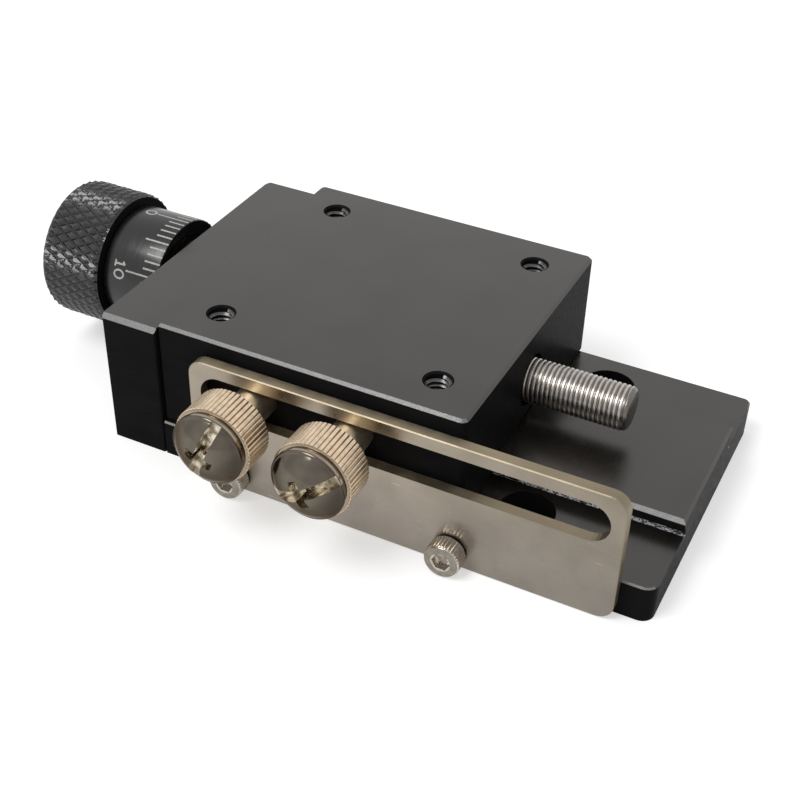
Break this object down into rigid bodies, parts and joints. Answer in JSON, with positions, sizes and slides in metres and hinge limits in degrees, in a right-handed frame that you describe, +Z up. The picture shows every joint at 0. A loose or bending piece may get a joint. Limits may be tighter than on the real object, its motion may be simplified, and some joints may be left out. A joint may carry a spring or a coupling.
{
  "type": "dovetail slide",
  "caption": "Compact screw-driven dovetail slide with graduated feed knob, gib, slotted side lock plate and two knurled lock screws.",
  "frame": {"origin": "the middle of the base's flat underside", "axes": "+X runs along the rail from the knob towards the free end of the feed screw, +Z is up out of the table, and -Y is the side with the lock plate"},
  "size_m": [0.113, 0.0665, 0.0267],
  "materials": {
    "black_anodised": "satin black anodised aluminium",
    "black_knurled": "black anodised aluminium with a diamond knurl",
    "satin_nickel": "satin nickel plated steel",
    "bright_steel": "bright turned steel with a cut thread",
    "pale_gold_nickel": "polished nickel plated brass, warm in tone",
    "brass": "turned brass",
    "dark_steel": "blackened steel"
  },
  "bodies": {
    "base": {"base_plate": "black_anodised", "end_block": "black_anodised", "end_block_screw_front": "dark_steel", "end_block_screw_back": "dark_steel", "screw_bush": "brass", "thrust_washer": "dark_steel", "lock_plate": "satin_nickel", "lock_plate_screw_left": "satin_nickel", "lock_plate_screw_right": "satin_nickel"},
    "spindle": {"lead_screw": "bright_steel", "dial_sleeve": "black_anodised", "dial_set_screw": "dark_steel", "knob": "black_knurled", "knob_screw": "dark_steel"},
    "table": {"slide_table": "black_anodised", "lead_nut": "brass", "nut_set_screw": "dark_steel", "gib_strip": "brass", "gib_set_screw_1": "dark_steel", "gib_set_screw_2": "dark_steel", "gib_set_screw_3": "dark_steel"},
    "thumb_left": {"thumb_screw_left": "pale_gold_nickel"},
    "thumb_right": {"thumb_screw_right": "pale_gold_nickel"}
  },
  "joints": [
    {"name": "feed_knob_turn", "type": "hinge", "parent": "base", "child": "spindle", "pos_m": [-0.0401, 0.0009, 0.0152], "axis": [1, 0, 0], "range_deg": [-12000, 0]},
    {"name": "table_slide", "type": "slide", "parent": "base", "child": "table", "axis": [1, 0, 0], "range_m": [0, 0.025]},
    {"name": "thumb_left_turn", "type": "hinge", "parent": "table", "child": "thumb_left", "pos_m": [-0.0226, -0.0241, 0.0163], "axis": [0, 1, 0], "range_deg": [0, 1440]},
    {"name": "thumb_right_turn", "type": "hinge", "parent": "table", "child": "thumb_right", "pos_m": [-0.0066, -0.0241, 0.0163], "axis": [0, 1, 0], "range_deg": [0, 1440]}
  ],
  "couplings": [
    {"joint": "feed_knob_turn", "follows": "table_slide", "rad_per_m": -8377.6}
  ]
}
